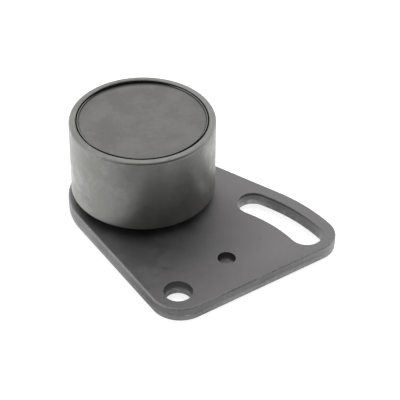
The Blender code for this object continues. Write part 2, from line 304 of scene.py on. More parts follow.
class Tree:
    """A node tree under construction, of shaders or of geometry."""

    def __init__(self, tree: bpy.types.NodeTree) -> None:
        """Start on an empty tree."""
        self.tree = tree
        tree.nodes.clear()

    def add(self, kind: str, feeds: dict[str | int, object] | None = None,
            **settings: object) -> bpy.types.Node:
        """Add a node.

        Args:
            kind: The node's type name.
            feeds: Values or output sockets for the node's inputs, by name or index.
            settings: Attributes to set on the node.

        Returns:
            The node.
        """
        node = self.tree.nodes.new(kind)
        for attribute, value in settings.items():
            setattr(node, attribute, value)
        for key, value in (feeds or {}).items():
            self.feed(node.inputs[key], value)
        return node

    def feed(self, socket: Socket, value: object) -> None:
        """Link an output to an input, or set the input's value."""
        if isinstance(value, bpy.types.NodeSocket):
            self.tree.links.new(value, socket)
        else:
            socket.default_value = value

    def maths(self, operation: str, *values: object, clamp: bool = False) -> Socket:
        """Return the result of a Math node."""
        node = self.add("ShaderNodeMath", dict(enumerate(values)), operation=operation, use_clamp=clamp)
        return node.outputs[0]

    def product(self, first: object, *others: object) -> Socket:
        """Return the product of values."""
        result = first
        for value in others:
            result = self.maths("MULTIPLY", result, value)
        return result

    def span(self, value: Socket, low: float, high: float,
             to_low: object = 0.0, to_high: object = 1.0) -> Socket:
        """Return a value mapped smoothly from one range to another, held at the ends."""
        node = self.add("ShaderNodeMapRange", {0: value, 1: low, 2: high, 3: to_low, 4: to_high},
                        interpolation_type="SMOOTHSTEP")
        return node.outputs[0]

    def blend(self, factor: object, first: object, second: object) -> Socket:
        """Mix two colours.

        Args:
            factor: Share of the second colour.
            first: A colour or an output that gives one.
            second: The same for the other colour.

        Returns:
            The mixed colour.
        """
        node = self.add("ShaderNodeMix", data_type="RGBA")
        for name, value in (("Factor_Float", factor), ("A_Color", first), ("B_Color", second)):
            socket = next(item for item in node.inputs if item.identifier == name)
            self.feed(socket, (*value, 1.0) if isinstance(value, tuple) and len(value) == 3 else value)
        return next(item for item in node.outputs if item.identifier == "Result_Color")

    def scaled(self, vector: Socket, scale: Place) -> Socket:
        """Return a vector multiplied by a constant one."""
        return self.add("ShaderNodeVectorMath", {0: vector, 1: scale}, operation="MULTIPLY").outputs[0]

    def measure(self, operation: str, *vectors: object) -> Socket:
        """Return the number that a Vector Math node gives, such as a distance."""
        node = self.add("ShaderNodeVectorMath", dict(enumerate(vectors)), operation=operation)
        return node.outputs["Value"]

    def parts(self, vector: Socket) -> Sequence[Socket]:
        """Return the three parts of a vector."""
        return self.add("ShaderNodeSeparateXYZ", {0: vector}).outputs

    def attribute(self, name: str) -> Socket:
        """Return the value of a mesh attribute in a material."""
        return self.add("ShaderNodeAttribute", attribute_name=name).outputs["Fac"]

    def noise(self, vector: Socket, scale: object, detail: float = 2.0, roughness: float = 0.5) -> Socket:
        """Return the value of a Noise Texture, from about 0.25 to 0.75."""
        feeds = {"Vector": vector, "Scale": scale, "Detail": detail, "Roughness": roughness}
        return self.add("ShaderNodeTexNoise", feeds).outputs[0]


@dataclass(frozen=True)
class Spot:
    """A round place with a level of its own, which fades out at its border."""

    place: Place
    inner: float
    outer: float
    level: float

    def lay(self, tree: Tree, vector: Socket, rest: float) -> Socket:
        """Return the spot's level inside it, and the rest's outside."""
        distance = tree.measure("DISTANCE", vector, self.place)
        return tree.span(distance, self.inner, self.outer, self.level, rest)


class Group(Tree):
    """A node group under construction, with one output."""

    def __init__(self, name: str, inputs: dict[str, float | None], output: tuple[str, str],
                 kind: str = "ShaderNodeTree") -> None:
        """Start a group.

        Args:
            name: Name of the group.
            inputs: Default value of each input. An input without one is named after its type.
            output: Name and short socket type of the output.
            kind: Type name of the tree.
        """
        super().__init__(bpy.data.node_groups.new(name, kind))
        kinds = {label: label if value is None else type(value).__name__.capitalize()
                 for label, value in inputs.items()}
        for label, value in inputs.items():
            socket = self.tree.interface.new_socket(name=label, in_out="INPUT",
                                                    socket_type=f"NodeSocket{kinds[label]}")
            if value is not None:
                socket.default_value = value
        self.tree.interface.new_socket(name=output[0], in_out="OUTPUT", socket_type=f"NodeSocket{output[1]}")
        self.inputs = self.add("NodeGroupInput").outputs[:len(inputs)]
        self.output = self.add("NodeGroupOutput").inputs[0]

    def give(self, result: Socket) -> bpy.types.NodeTree:
        """Feed the group's output and return its tree."""
        self.feed(self.output, result)
        return self.tree

    def give_dressed(self, geometry: Socket, material: Socket) -> bpy.types.NodeTree:
        """End a geometry tree with plain geometry in its material, and return it."""
        realized = self.add("GeometryNodeRealizeInstances", {"Geometry": geometry}).outputs[0]
        feeds = {"Geometry": realized, "Material": material}
        return self.give(self.add("GeometryNodeSetMaterial", feeds).outputs[0])


# Effects that several materials share


class Effects:
    """Shader node groups, each built once and placed in materials with their own values."""

    def __init__(self) -> None:
        """Build every group."""
        self.around = self._around()
        self.grain = self._grain()
        self.blotches = self._blotches()
        self.specks = self._specks()
        self.joint = self._joint()

    @staticmethod
    def _around() -> bpy.types.NodeTree:
        """Coordinates that follow the turning round Z: fine across the marks, slow along them."""
        slant, slowness = 1.37, 0.004
        tree = Group("around_axis", {"Vector": None}, ("Vector", "Vector"))
        x, y, z = tree.parts(tree.inputs[0])
        radius = tree.maths("SQRT", tree.maths("ADD", tree.product(x, x), tree.product(y, y)))
        across = tree.maths("ADD", radius, tree.product(z, slant))
        divisor = tree.maths("MAXIMUM", radius, 0.001)
        along = [tree.product(tree.maths("DIVIDE", side, divisor), slowness) for side in (x, y)]
        return tree.give(tree.add("ShaderNodeCombineXYZ", dict(enumerate([across, *along]))).outputs[0])

    @staticmethod
    def _grain() -> bpy.types.NodeTree:
        """Two octaves of fine marks: a height about zero."""
        tree = Group("tool_grain", {"Vector": None, "Scale": 2000.0, "Coarse": 0.4}, ("Height", "Float"))
        vector, scale, coarse = tree.inputs
        fine = tree.noise(vector, scale, 3.0, 0.6)
        wide = tree.noise(vector, tree.product(scale, 0.23), 2.0)
        return tree.give(tree.maths("ADD", tree.maths("SUBTRACT", fine, 0.5),
                                    tree.product(tree.maths("SUBTRACT", wide, 0.5), coarse)))

    @staticmethod
    def _blotches() -> bpy.types.NodeTree:
        """Soft patches of a stained surface: a mask from 0 to 1."""
        tree = Group("soft_blotches", {"Vector": None, "Scale": 80.0, "Break-up": 0.5}, ("Mask", "Float"))
        vector, scale, breakup = tree.inputs
        wide = tree.noise(vector, scale, 3.0, 0.55)
        small = tree.noise(vector, tree.product(scale, 6.3), 3.0, 0.6)
        both = tree.maths("ADD", wide, tree.product(tree.maths("SUBTRACT", small, 0.5), breakup))
        return tree.give(tree.span(both, 0.32, 0.68))

    @staticmethod
    def _specks() -> bpy.types.NodeTree:
        """Sparse small spots: a mask that is 1 at their middles."""
        tree = Group("sparse_specks", {"Vector": None, "Scale": 300.0, "Size": 0.25}, ("Mask", "Float"))
        vector, scale, size = tree.inputs
        cells = tree.add("ShaderNodeTexVoronoi", {"Vector": vector, "Scale": scale, "Randomness": 1.0})
        chance = tree.add("ShaderNodeSeparateColor", {0: cells.outputs["Color"]})
        reach = tree.maths("MAXIMUM", tree.product(tree.span(chance.outputs[0], 0.6, 1.0), size), 0.001)
        share = tree.maths("DIVIDE", cells.outputs["Distance"], reach)
        spot = tree.maths("SUBTRACT", 1.0, share, clamp=True)
        return tree.give(tree.span(spot, 0.0, 0.7))

    @staticmethod
    def _joint() -> bpy.types.NodeTree:
        """Dirt or painted shade round the axis: a mask that is 1 outside a radius, once above a height."""
        tree = Group("dirt_or_painted_shade_ring", {"Vector": None, "Radius": 0.027, "Reach": 0.0002, "Above": 0.0,
                                     "Sag": 0.0, "Behind": 0.0}, ("Mask", "Float"))
        vector, radius, reach, above, sag, behind = tree.inputs
        distance = tree.measure("LENGTH", tree.scaled(vector, (1.0, 1.0, 0.0)))
        _, depth, height = tree.parts(vector)
        lean = tree.maths("POWER", tree.maths("DIVIDE", depth, radius), 2.0)
        # behind widens the ring at the back alone: painted shade at the back of a recess
        behind = tree.product(behind, tree.maths("GREATER_THAN", depth, 0.0))
        border = tree.maths("SUBTRACT", radius, tree.product(lean, tree.maths("ADD", sag, behind)))
        edge = tree.maths("DIVIDE", tree.maths("SUBTRACT", distance, border), reach)
        high = tree.maths("GREATER_THAN", height, above)
        return tree.give(tree.product(tree.span(edge, 0.0, 1.0), high))


class Surface:
    """A material under construction: its tree, its shader and the shared effects."""

    def __init__(self, name: str, effects: Effects, metallic: float) -> None:
        """Start a material.

        Args:
            name: Name of the material.
            effects: The shared node groups.
            metallic: Metallic value of the shader.
        """
        self.material = bpy.data.materials.new(name)
        self.material.use_nodes = True
        self.tree = Tree(self.material.node_tree)
        self.effects = effects
        self.shader = self.tree.add("ShaderNodeBsdfPrincipled", {"Metallic": metallic})
        self.tree.add("ShaderNodeOutputMaterial", {"Surface": self.shader.outputs[0]})
        self.place = self.tree.add("ShaderNodeTexCoord").outputs["Object"]

    def effect(self, group: bpy.types.NodeTree, vector: Socket, **values: float) -> Socket:
        """Place a shared effect.

        Args:
            group: The effect's node group.
            vector: Coordinates that it works on.
            values: Values of its other inputs, by name.

        Returns:
            Its output.
        """
        node = self.tree.add("ShaderNodeGroup", node_tree=group)
        self.tree.feed(node.inputs["Vector"], vector)
        for name, value in values.items():
            node.inputs[name.replace("_", "-").capitalize()].default_value = value
        return node.outputs[0]

    def blotches(self, scale: float, break_up: float) -> Socket:
        """Return the mask of soft patches."""
        return self.effect(self.effects.blotches, self.place, scale=scale, break_up=break_up)

    def specks(self, scale: float, size: float) -> Socket:
        """Return the mask of sparse spots."""
        return self.effect(self.effects.specks, self.place, scale=scale, size=size)

    def grain(self, direction: Lay | None, scale: float, coarse: float) -> Socket:
        """Return the height of fine marks that run in a direction, or in none."""
        vector = self.place if direction is None else self.stretched(direction)
        return self.effect(self.effects.grain, vector, scale=scale, coarse=coarse)

    def stretched(self, direction: Lay) -> Socket:
        """Return coordinates stretched along the marks."""
        if direction is Lay.CIRCULAR:
            return self.effect(self.effects.around, self.place)
        stretch = {Lay.UPRIGHT: (1.0, 1.0, 0.09), Lay.LEVEL: (0.07, 0.07, 1.0), Lay.ROLLED: (0.10, 1.0, 1.0)}
        return self.tree.scaled(self.place, stretch[direction])

    def tint(self, colour: object, mask: Socket, share: float, other: Colour) -> Socket:
        """Return a colour mixed with another by a share of a mask."""
        return self.tree.blend(self.tree.product(mask, share), colour, other)

    def film(self, colour: Socket, films: Iterable[Film]) -> Socket:
        """Return a colour with rings of dirt, painted shade or a lighter tint laid over it, in order."""
        for film in films:
            mask = self.effect(self.effects.joint, self.place, radius=film.radius, reach=film.reach,
                               above=film.above, sag=film.sag, behind=film.behind)
            colour = self.tree.blend(mask, colour, film.colour)
        return colour

    def finished(self, colour: Socket, roughness: Socket,
                 layers: Iterable[tuple[Socket, float]]) -> bpy.types.Material:
        """Feed the shader and return the material.

        Args:
            colour: The base colour.
            roughness: The roughness.
            layers: Height outputs that bump the surface, and how deep each one is, in metres.

        Returns:
            The material.
        """
        self.tree.feed(self.shader.inputs["Base Color"], colour)
        self.tree.feed(self.shader.inputs["Roughness"], roughness)
        feeds: dict[str | int, object] = {}
        for height, depth in layers:
            feeds |= {"Height": height, "Distance": depth}
            feeds["Normal"] = self.tree.add("ShaderNodeBump", feeds).outputs[0]
        self.tree.feed(self.shader.inputs["Normal"], feeds["Normal"])
        return self.material


# Finishes


@dataclass(frozen=True)
class Film:
    """A ring of dirt, painted shade or a lighter tint round the roller's axis, outside a radius and above a
    height.

    It reaches further in by sag at the front and the back, and by behind at the back alone, where it paints the
    shade at the back of a recess.
    """

    colour: Colour
    radius: float
    reach: float
    above: float
    sag: float = 0.0
    behind: float = 0.0


@dataclass(frozen=True)
class MachinedSteel:
    """Turned or ground steel, darkened, with fine marks round the axis and soft stains."""

    name: str
    colour: Colour
    stain: Colour
    roughness: float
    roughness_spread: float = 0.06
    mark_scale: float = 5200.0
    mark_depth: float = 0.004 * MM
    blotch_scale: float = 70.0
    grit: Colour = (0.05, 0.05, 0.05)
    # Rings laid over the colour, such as oil with painted shade in a gap
    films: tuple[Film, ...] = ()

    def material(self, effects: Effects) -> bpy.types.Material:
        """Build the material."""
        made = Surface(self.name, effects, 1.0)
        tree = made.tree
        marks = made.grain(Lay.CIRCULAR, scale=self.mark_scale, coarse=0.8)
        stains = made.blotches(scale=self.blotch_scale, break_up=0.55)
        mottle = made.blotches(scale=self.blotch_scale * 9, break_up=0.3)
        specks = made.specks(scale=420.0, size=0.3)
        colour = made.tint(self.colour, stains, 0.7, self.stain)
        colour = tree.blend(tree.span(marks, -0.2, 0.2, 0.0, 0.35), colour, self.stain)
        colour = tree.blend(tree.span(mottle, 0.0, 1.0, 0.0, 0.22), colour, self.stain)
        colour = made.film(made.tint(colour, specks, 0.25, self.grit), self.films)
        low, high = self.roughness - self.roughness_spread, self.roughness + self.roughness_spread
        return made.finished(colour, tree.span(stains, 0.0, 1.0, low, high),
                             [(marks, self.mark_depth), (mottle, 0.002 * MM)])


@dataclass(frozen=True)
class SheetSteel:
    """Pressed sheet with the mill's faint grain, soft smudges and a matt mottle."""

    name: str
    colour: Colour
    smudge: Colour
    roughness: float
    # Rings laid over the colour: painted shade in recesses and gaps, oil, and a lighter tint
    films: tuple[Film, ...]
    roughness_spread: float = 0.05
    dust: Colour = (0.34, 0.34, 0.33)

    def material(self, effects: Effects) -> bpy.types.Material:
        """Build the material."""
        made = Surface(self.name, effects, 1.0)
        tree = made.tree
        grain = made.grain(Lay.ROLLED, scale=2600.0, coarse=1.0)
        smudges = made.blotches(scale=95.0, break_up=0.35)
        mottle = made.blotches(scale=900.0, break_up=0.6)
        specks = made.specks(scale=260.0, size=0.16)
        colour = made.tint(self.colour, smudges, 0.8, self.smudge)
        colour = tree.blend(tree.span(grain, -0.25, 0.25, 0.0, 0.4), colour, self.smudge)
        colour = made.tint(colour, mottle, 0.3, self.smudge)
        colour = made.film(made.tint(colour, specks, 0.35, self.dust), self.films)
        low, high = self.roughness - self.roughness_spread, self.roughness + self.roughness_spread
        return made.finished(colour, tree.span(smudges, 0.0, 1.0, low, high),
                             [(grain, 0.004 * MM), (mottle, 0.003 * MM)])


@dataclass(frozen=True)
class StampedSteel:
    """Dark phosphated plate with sheared walls: a burnished band above a torn one."""

    name: str
    face: Colour
    face_light: Colour
    # Lighter colour of the rolled edges: wear together with a painted highlight
    worn: Colour
    burnished: Colour
    torn: Colour
    torn_dark: Colour
    bore: Colour
    bore_torn: Colour
    roughness: float
    grit: Colour = (0.06, 0.06, 0.06)
    # Also the colour of the painted light spot on the plate's face
    dust: Colour = (0.5, 0.49, 0.49)
    # Near-black painted shade on hole walls
    soot: Colour = (0.015, 0.015, 0.015)
    # Painted shade of the roller's dark reflection and shadow on the face, right of its front
    oily: Spot = Spot((16.0 * MM, -30.0 * MM, 6.0 * MM), 12 * MM, 36 * MM, 0.22)
    # Painted light on the face left of the roller's front
    dusty: Spot = Spot((-13.0 * MM, -43.0 * MM, 6.0 * MM), 5 * MM, 18 * MM, 0.15)
    # Painted shade on the face towards the plate's front corner
    dull_front: tuple[float, float, float] = (-62 * MM, -48 * MM, 0.1)
    # Painted shade on the walls at the plate's left
    dull_left: tuple[float, float, float] = (-26 * MM, -8 * MM, 0.12)

    def face_colour(self, made: Surface, patches: Socket, crystals: Socket) -> Socket:
        """Build the flat faces' colour, with painted shade and light round the roller and painted shade towards
        the front.

        Args:
            made: The material under construction.
            patches: Mask of the wide stains.
            crystals: Mask of the coating's fine crystals.

        Returns:
            The colour.
        """
        tree = made.tree
        specks = made.specks(scale=330.0, size=0.22)
        face = made.tint(self.face, patches, 0.6, self.face_light)
        face = made.tint(face, crystals, 0.35, self.face_light)
        face = made.tint(face, specks, 0.3, self.grit)
        # Painted shade of the roller on the face near its front right
        face = tree.blend(self.oily.lay(tree, made.place, 0.0), face, BLACK)
        # Painted light on the face left of the roller's front
        face = tree.blend(self.dusty.lay(tree, made.place, 0.0), face, self.dust)
        # Painted shade towards the plate's front
        _, depth, _ = tree.parts(made.place)
        return tree.blend(tree.span(depth, *self.dull_front, 0.0), face, BLACK)

    def wall_colour(self, made: Surface, torn: Socket, rough: Socket, shear: Socket) -> Socket:
        """Build the sheared walls' colour, with painted shade in the holes and on the left walls.

        Args:
            made: The material under construction.
            torn: Mask of the torn band.
            rough: Mask of the torn band's grain.
            shear: Height of the marks that run up and down.

        Returns:
            The colour.
        """
        tree = made.tree
        bore, soot, shade = (tree.attribute(name) for name in ("bore", "soot", "shade"))
        bands = made.grain(Lay.LEVEL, scale=1100.0, coarse=1.2)
        streaks = tree.maths("ADD", tree.product(tree.span(shear, -0.25, 0.25), 0.22),
                             tree.product(tree.span(bands, -0.25, 0.25), 0.7))
        # shade, how far a hole wall faces the shaded side, darkens these walls: painted shade
        ragged = tree.maths("ADD", tree.product(rough, 0.5), tree.product(shade, 0.25))
        bored = made.tint(tree.blend(shade, self.bore_torn, self.bore), streaks, 0.3, self.face)
        bored = tree.blend(torn, bored, tree.blend(ragged, self.bore_torn, self.bore))
        # Painted shade on the hole walls' upper band
        bored = tree.blend(soot, bored, self.soot)
        wall = tree.blend(streaks, self.burnished, self.face)
        wall = tree.blend(torn, wall, tree.blend(rough, self.torn_dark, self.torn))
        # Painted shade on the walls at the plate's left
        across, _, _ = tree.parts(made.place)
        wall = tree.blend(tree.span(across, *self.dull_left, 0.0), wall, BLACK)
        return tree.blend(bore, wall, bored)

    def material(self, effects: Effects) -> bpy.types.Material:
        """Build the material."""
        made = Surface(self.name, effects, 1.0)
        tree = made.tree
        cut, torn = tree.attribute("cut"), tree.attribute("torn")
        patches = made.blotches(scale=55.0, break_up=0.5)
        crystals = made.blotches(scale=1300.0, break_up=0.8)
        rough = made.blotches(scale=700.0, break_up=0.9)
        shear = made.grain(Lay.UPRIGHT, scale=2300.0, coarse=1.1)
        colour = tree.blend(tree.span(cut, 0.35, 1.0), self.face_colour(made, patches, crystals),
                            self.wall_colour(made, torn, rough, shear))
        patchy = tree.span(tree.maths("ADD", patches, rough), 0.5, 1.5, 0.3, 1.0)
        # Rolled edges take a lighter colour in patches: wear and a painted highlight
        rubbed_highlight = tree.product(tree.span(cut, 0.1, 0.5), tree.span(cut, 0.8, 1.0, 1.0, 0.0), patchy)
        matt = tree.span(patches, 0.0, 1.0, self.roughness - 0.04, self.roughness + 0.05)
        upright = tree.product(shear, tree.maths("SUBTRACT", cut, torn))
        fracture = tree.product(rough, torn)
        return made.finished(tree.blend(rubbed_highlight, colour, self.worn),
                             tree.maths("ADD", matt, tree.product(torn, 0.12)),
                             [(crystals, 0.006 * MM), (upright, 0.01 * MM), (fracture, 0.04 * MM)])


@dataclass(frozen=True)
class PolishedSteel:
    """Ground and polished bearing steel with a film of grease."""

    name: str
    colour: Colour
    film: Colour

    def material(self, effects: Effects) -> bpy.types.Material:
        """Build the material."""
        made = Surface(self.name, effects, 1.0)
        tree = made.tree
        grease = made.blotches(scale=260.0, break_up=0.5)
        marks = made.grain(Lay.CIRCULAR, scale=6000.0, coarse=0.3)
        return made.finished(tree.blend(grease, self.colour, self.film),
                             tree.span(grease, 0.0, 1.0, 0.08, 0.24), [(marks, 0.0015 * MM)])


@dataclass(frozen=True)
class MouldedPlastic:
    """Moulded polymer or rubber with a fine skin."""

    name: str
    colour: Colour
    shade: Colour
    roughness: float
    skin_depth: float

    def material(self, effects: Effects) -> bpy.types.Material:
        """Build the material."""
        made = Surface(self.name, effects, 0.0)
        tree = made.tree
        tone = made.blotches(scale=160.0, break_up=0.6)
        skin = made.grain(None, scale=2400.0, coarse=0.5)
        return made.finished(tree.blend(tone, self.colour, self.shade),
                             tree.span(tone, 0.0, 1.0, self.roughness - 0.05, self.roughness + 0.07),
                             [(skin, self.skin_depth)])


# Pieces


@dataclass
class Workshop:
    """Puts finished pieces in place of the frame's nodes."""

    materials: dict[str, bpy.types.Material]
    count: int = 0

    def deliver(self, piece: bpy.types.Object, node: str, slot: str, body: str) -> None:
        """Dress a piece, join it to its body and let it stand for a node.

        Args:
            piece: The finished piece, at the origin.
            node: The frame's node that it stands for.
            slot: The record's material slot.
            body: The body that it moves with.
        """
        piece.data.materials.clear()
        piece.data.materials.append(self.materials[slot])
        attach(piece, body)
        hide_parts(node)
        self.count += 1
        LOG.info("%s: %d triangles", node, sum(len(face.vertices) - 2 for face in piece.data.polygons))


def run_tree(piece: bpy.types.Object, tree: bpy.types.NodeTree, values: dict[str, object]) -> None:
    """Run a geometry tree on a piece and keep the result as its plain mesh.

    Args:
        piece: The object, which is changed.
        tree: The geometry tree.
        values: Values of the tree's inputs, by name.
    """
    modifier = piece.modifiers.new("shape", "NODES")
    modifier.node_group = tree
    for item in tree.interface.items_tree:
        if item.item_type == "SOCKET" and item.in_out == "INPUT" and item.name in values:
            modifier[item.identifier] = values[item.name]
    bpy.context.view_layer.update()
    evaluated = piece.evaluated_get(bpy.context.evaluated_depsgraph_get())
    made = bpy.data.meshes.new_from_object(evaluated)
    piece.modifiers.remove(modifier)
    before = piece.data
    piece.data = made
    bpy.data.meshes.remove(before)


@dataclass(frozen=True)
class Soiling:
    """How painted shade lies on a hole's wall: a darker band above a border."""

    lower: float
    upper: float
    border: float
    one_sided: bool = False

    def share(self, facing: float) -> float:
        """Return how much of the painted shade a wall gets that faces the shaded side this much."""
        return ease(facing, 0.2, 0.95) if self.one_sided else 1.0

    def amount(self, rise: float) -> float:
        """Return the painted shade at a share of the plate's thickness, measured from below."""
        return self.lower + (self.upper - self.lower) * ease(rise, self.border - 0.05, self.border + 0.05)


@dataclass
class BasePlate:
    """The stamped plate with its pivot hole, curved slot, tool hole and the stud's seat."""

    thickness: float
    roller_radius: float
    rim: float = 1.85 * MM
    rim_shift: Point = (0.25 * MM, -0.9 * MM)
    pivot_distance: float = 64.2 * MM
    pivot_hole_radius: float = 5.8 * MM
    pivot_draft: float = 0.6 * MM
    pivot_corner_radius: float = 12.6 * MM
    pivot_corner_shift: Point = (1.3 * MM, 1.8 * MM)
    slot_radius: float = 62.4 * MM
    slot_half_width: float = 6.8 * MM
    slot_start: float = math.radians(43.4)
    slot_end: float = math.radians(69.5)
    slot_margin: float = 5.5 * MM
    end_corner_radius: float = 11.1 * MM
    tool_hole_radius: float = 3.65 * MM
    tool_draft: float = 0.8 * MM
    tool_roll: float = 0.06 * MM
    tool_hole_distance: float = 27.4 * MM
    tool_hole_angle: float = math.radians(57.9)
    seat_radius: float = 7.3 * MM
    rivet_flare: float = 1.6 * MM
    roll_width: float = 0.9 * MM
    roll_drop: float = 0.85 * MM
    slot_roll: float = 0.4 * MM
    hole_roll: float = 0.12 * MM
    step: float = 0.45 * MM
    torn_share: float = 0.42
    torn_waver: float = 0.6 * MM
    torn_taper: float = 0.05
    torn_roughness: float = 0.14 * MM
    # The side from which hole walls are painted in shade, and how the shade lies in each hole
    soot_side: Point = (-0.1, -0.995)
    slot_soiling: Soiling = Soiling(0.0, 0.75, 0.80, one_sided=True)
    pivot_soiling: Soiling = Soiling(-0.1, 0.45, 0.50)
    tool_soiling: Soiling = Soiling(0.25, 0.76, 0.48)

    def around_pivot(self, distance: float, angle: float) -> Vector:
        """Return the place at a distance from the pivot, clockwise from the roller's axis."""
        return Vector((distance * math.sin(angle), distance * math.cos(angle) - self.pivot_distance))

    def outline(self) -> list[Arc]:
        """Return the plate's outer outline."""
        pivot = Vector((0.0, -self.pivot_distance))
        reach = self.slot_radius + self.slot_half_width + self.slot_margin
        return belt([
            (Vector(self.rim_shift), self.roller_radius + self.rim),
            (pivot + Vector(self.pivot_corner_shift), self.pivot_corner_radius),
            (self.around_pivot(reach - self.end_corner_radius, self.slot_end), self.end_corner_radius),
            (pivot, reach),
        ])

    def slot_outline(self) -> list[Arc]:
        """Return the curved slot's outline."""
        pivot = Vector((0.0, -self.pivot_distance))
        half = self.slot_half_width
        first = math.pi / 2 - self.slot_start
        last = math.pi / 2 - self.slot_end
        near = self.around_pivot(self.slot_radius, self.slot_start)
        far = self.around_pivot(self.slot_radius, self.slot_end)
        return [
            Arc(far, half, last + 2 * math.pi, last + math.pi, -1),
            Arc(pivot, self.slot_radius - half, last, first, 1),
            Arc(near, half, first + math.pi, first, -1),
            Arc(pivot, self.slot_radius + half, first, last, -1),
        ]

    @staticmethod
    def hole(centre: Vector, radius: float) -> list[Arc]:
        """Return a round hole's outline."""
        return [Arc(centre, radius, 2 * math.pi, 0.0, -1)]

    def wall(self, roll_width: float, roll_drop: float, draft: float = 0.0) -> list[Place]:
        """Return a sheared wall as (inset, height, cut), from the bottom face to the top one.

        Args:
            roll_width: How far the rolled upper edge reaches into the face.
            roll_drop: How far it reaches down the wall.
            draft: How far a hole's wall leans inwards towards its lower edge.

        Returns:
            The profile. Its first and last points lie in the flat faces.
        """
        burr = 0.12 * MM
        straight, bend = 26, 9
        top = self.thickness - roll_drop
        profile = [(0.5 * MM, 0.0, 0.0), (burr - draft, 0.0, 0.6), (burr * 0.3 - draft, burr * 0.3, 1.0)]
        profile += [(-draft * (1 - step / straight), burr + (top - burr) * step / straight, 1.0)
                    for step in range(straight + 1)]
        for step in range(1, bend + 1):
            turn = math.pi / 2 * step / bend
            profile.append((roll_width * (1 - math.cos(turn)), top + roll_drop * math.sin(turn),
                            1.0 - step / bend))
        profile.append((roll_width + 0.15 * MM, self.thickness, 0.0))
        return profile

    def mesh(self) -> bpy.types.Mesh:
        """Build the plate's mesh, with the attributes that its material reads on the walls."""
        edge = self.wall(self.roll_width, self.roll_drop)
        slot_edge = self.wall(self.slot_roll, self.slot_roll)
        pivot_edge = self.wall(self.hole_roll, self.hole_roll, self.pivot_draft)
        tool_edge = self.wall(self.tool_roll, self.tool_roll, self.tool_draft)
        seat = [(self.rivet_flare, 0.0, 0.0), (0.0, self.rivet_flare, 0.0), (0.0, self.thickness, 0.0)]
        pivot = Vector((0.0, -self.pivot_distance))
        tool = self.around_pivot(self.tool_hole_distance, self.tool_hole_angle)
        bm = bmesh.new()
        cut, bore, soot, shade = (bm.verts.layers.float.new(name) for name in ("cut", "bore", "soot", "shade"))
        bottoms: list[bmesh.types.BMEdge] = []
        tops: list[bmesh.types.BMEdge] = []
        for arcs, profile, hole_shading in (
            (self.outline(), edge, None),
            (self.slot_outline(), slot_edge, self.slot_soiling),
            (self.hole(pivot, self.pivot_hole_radius), pivot_edge, self.pivot_soiling),
            (self.hole(tool, self.tool_hole_radius), tool_edge, self.tool_soiling),
            (self.hole(Vector((0.0, 0.0)), self.seat_radius), seat, None),
        ):
            places = walk(arcs, self.step)
            rings: list[list[bmesh.types.BMVert]] = []
            for inset, height, mask in profile:
                ring = [bm.verts.new((*(point - outward * inset), height)) for point, outward in places]
                for vert, (_, outward) in zip(ring, places):
                    vert[cut] = mask
                    vert[bore] = float(profile is not edge)
                    if hole_shading is not None:
                        # Painted shade on hole walls, by how far each faces the shaded side and by height
                        vert[shade] = hole_shading.share(outward.dot(Vector(self.soot_side)))
                        vert[soot] = hole_shading.amount(height / self.thickness) * vert[shade]
                rings.append(ring)
            for lower, upper in zip(rings, rings[1:]):
                for corners in zip(lower, [*lower[1:], lower[0]], [*upper[1:], upper[0]], upper):
                    bm.faces.new(corners)
            for ring, edges in ((rings[0], bottoms), (rings[-1], tops)):
                edges += [bm.edges.get(pair) for pair in zip(ring, [*ring[1:], ring[0]])]
        for edges in (bottoms, tops):
            bmesh.ops.triangle_fill(bm, edges=edges, use_beauty=True, use_dissolve=False)
        bmesh.ops.recalc_face_normals(bm, faces=bm.faces)
        return finish_mesh("base_plate", bm, 40.0)

    @staticmethod
    def tearing() -> bpy.types.NodeTree:
        """Build the tree that roughens the lower band of the sheared walls."""
        tree = Group("torn_walls", {"Geometry": None, "Band Height": 0.0025, "Waver": 0.001, "Taper": 0.1,
                                    "Roughness": 0.0001, "Material": None},
                     ("Geometry", "Geometry"), "GeometryNodeTree")
        geometry, band, swing, taper, grain, material = tree.inputs
        place = tree.add("GeometryNodeInputPosition").outputs[0]
        _, _, height = tree.parts(place)
        cut, bore = (tree.add("GeometryNodeInputNamedAttribute", {"Name": name}, data_type="FLOAT").outputs[0]
                     for name in ("cut", "bore"))
        streaks = tree.noise(tree.scaled(place, (1.0, 1.0, 0.25)), 260.0, 3.0, 0.65)
        waver = tree.product(tree.maths("SUBTRACT", streaks, 0.5),
                             tree.product(swing, tree.span(bore, 0.0, 1.0, 4.0, 1.2)))
        below = tree.maths("SUBTRACT", tree.maths("ADD", band, waver), height)
        torn = tree.product(tree.span(below, -0.1 * MM, 0.25 * MM), cut)
        rough = tree.maths("SUBTRACT", tree.noise(tree.scaled(place, (1.0, 1.0, 0.6)), 1500.0, 4.0, 0.7), 0.2)
        depth = tree.maths("ADD", tree.product(tree.maths("MAXIMUM", below, 0.0), taper),
                           tree.product(tree.maths("MAXIMUM", rough, 0.0), grain))
        depth = tree.product(depth, tree.span(bore, 0.0, 1.0, 1.0, 0.25))
        normal = tree.add("GeometryNodeInputNormal").outputs[0]
        level = tree.scaled(normal, (-1.0, -1.0, 0.0))
        inwards = tree.add("ShaderNodeVectorMath", {0: level}, operation="NORMALIZE").outputs[0]
        shift = tree.add("ShaderNodeVectorMath", {0: inwards, 3: tree.product(depth, torn)}, operation="SCALE")
        stored = tree.add("GeometryNodeStoreNamedAttribute", {"Geometry": geometry, "Name": "torn", "Value": torn},
                          data_type="FLOAT", domain="POINT")
        moved = tree.add("GeometryNodeSetPosition", {"Geometry": stored.outputs[0], "Offset": shift.outputs[0]})
        return tree.give_dressed(moved.outputs[0], material)

    def build(self, shop: Workshop) -> None:
        """Build the plate and hand it to the workshop."""
        piece = new_object("plate", self.mesh())
        run_tree(piece, self.tearing(), {
            "Band Height": self.thickness * self.torn_share, "Waver": self.torn_waver, "Taper": self.torn_taper,
            "Roughness": self.torn_roughness, "Material": shop.materials["plate_steel"],
        })
        shop.deliver(piece, "base_plate", "plate_steel", "plate")


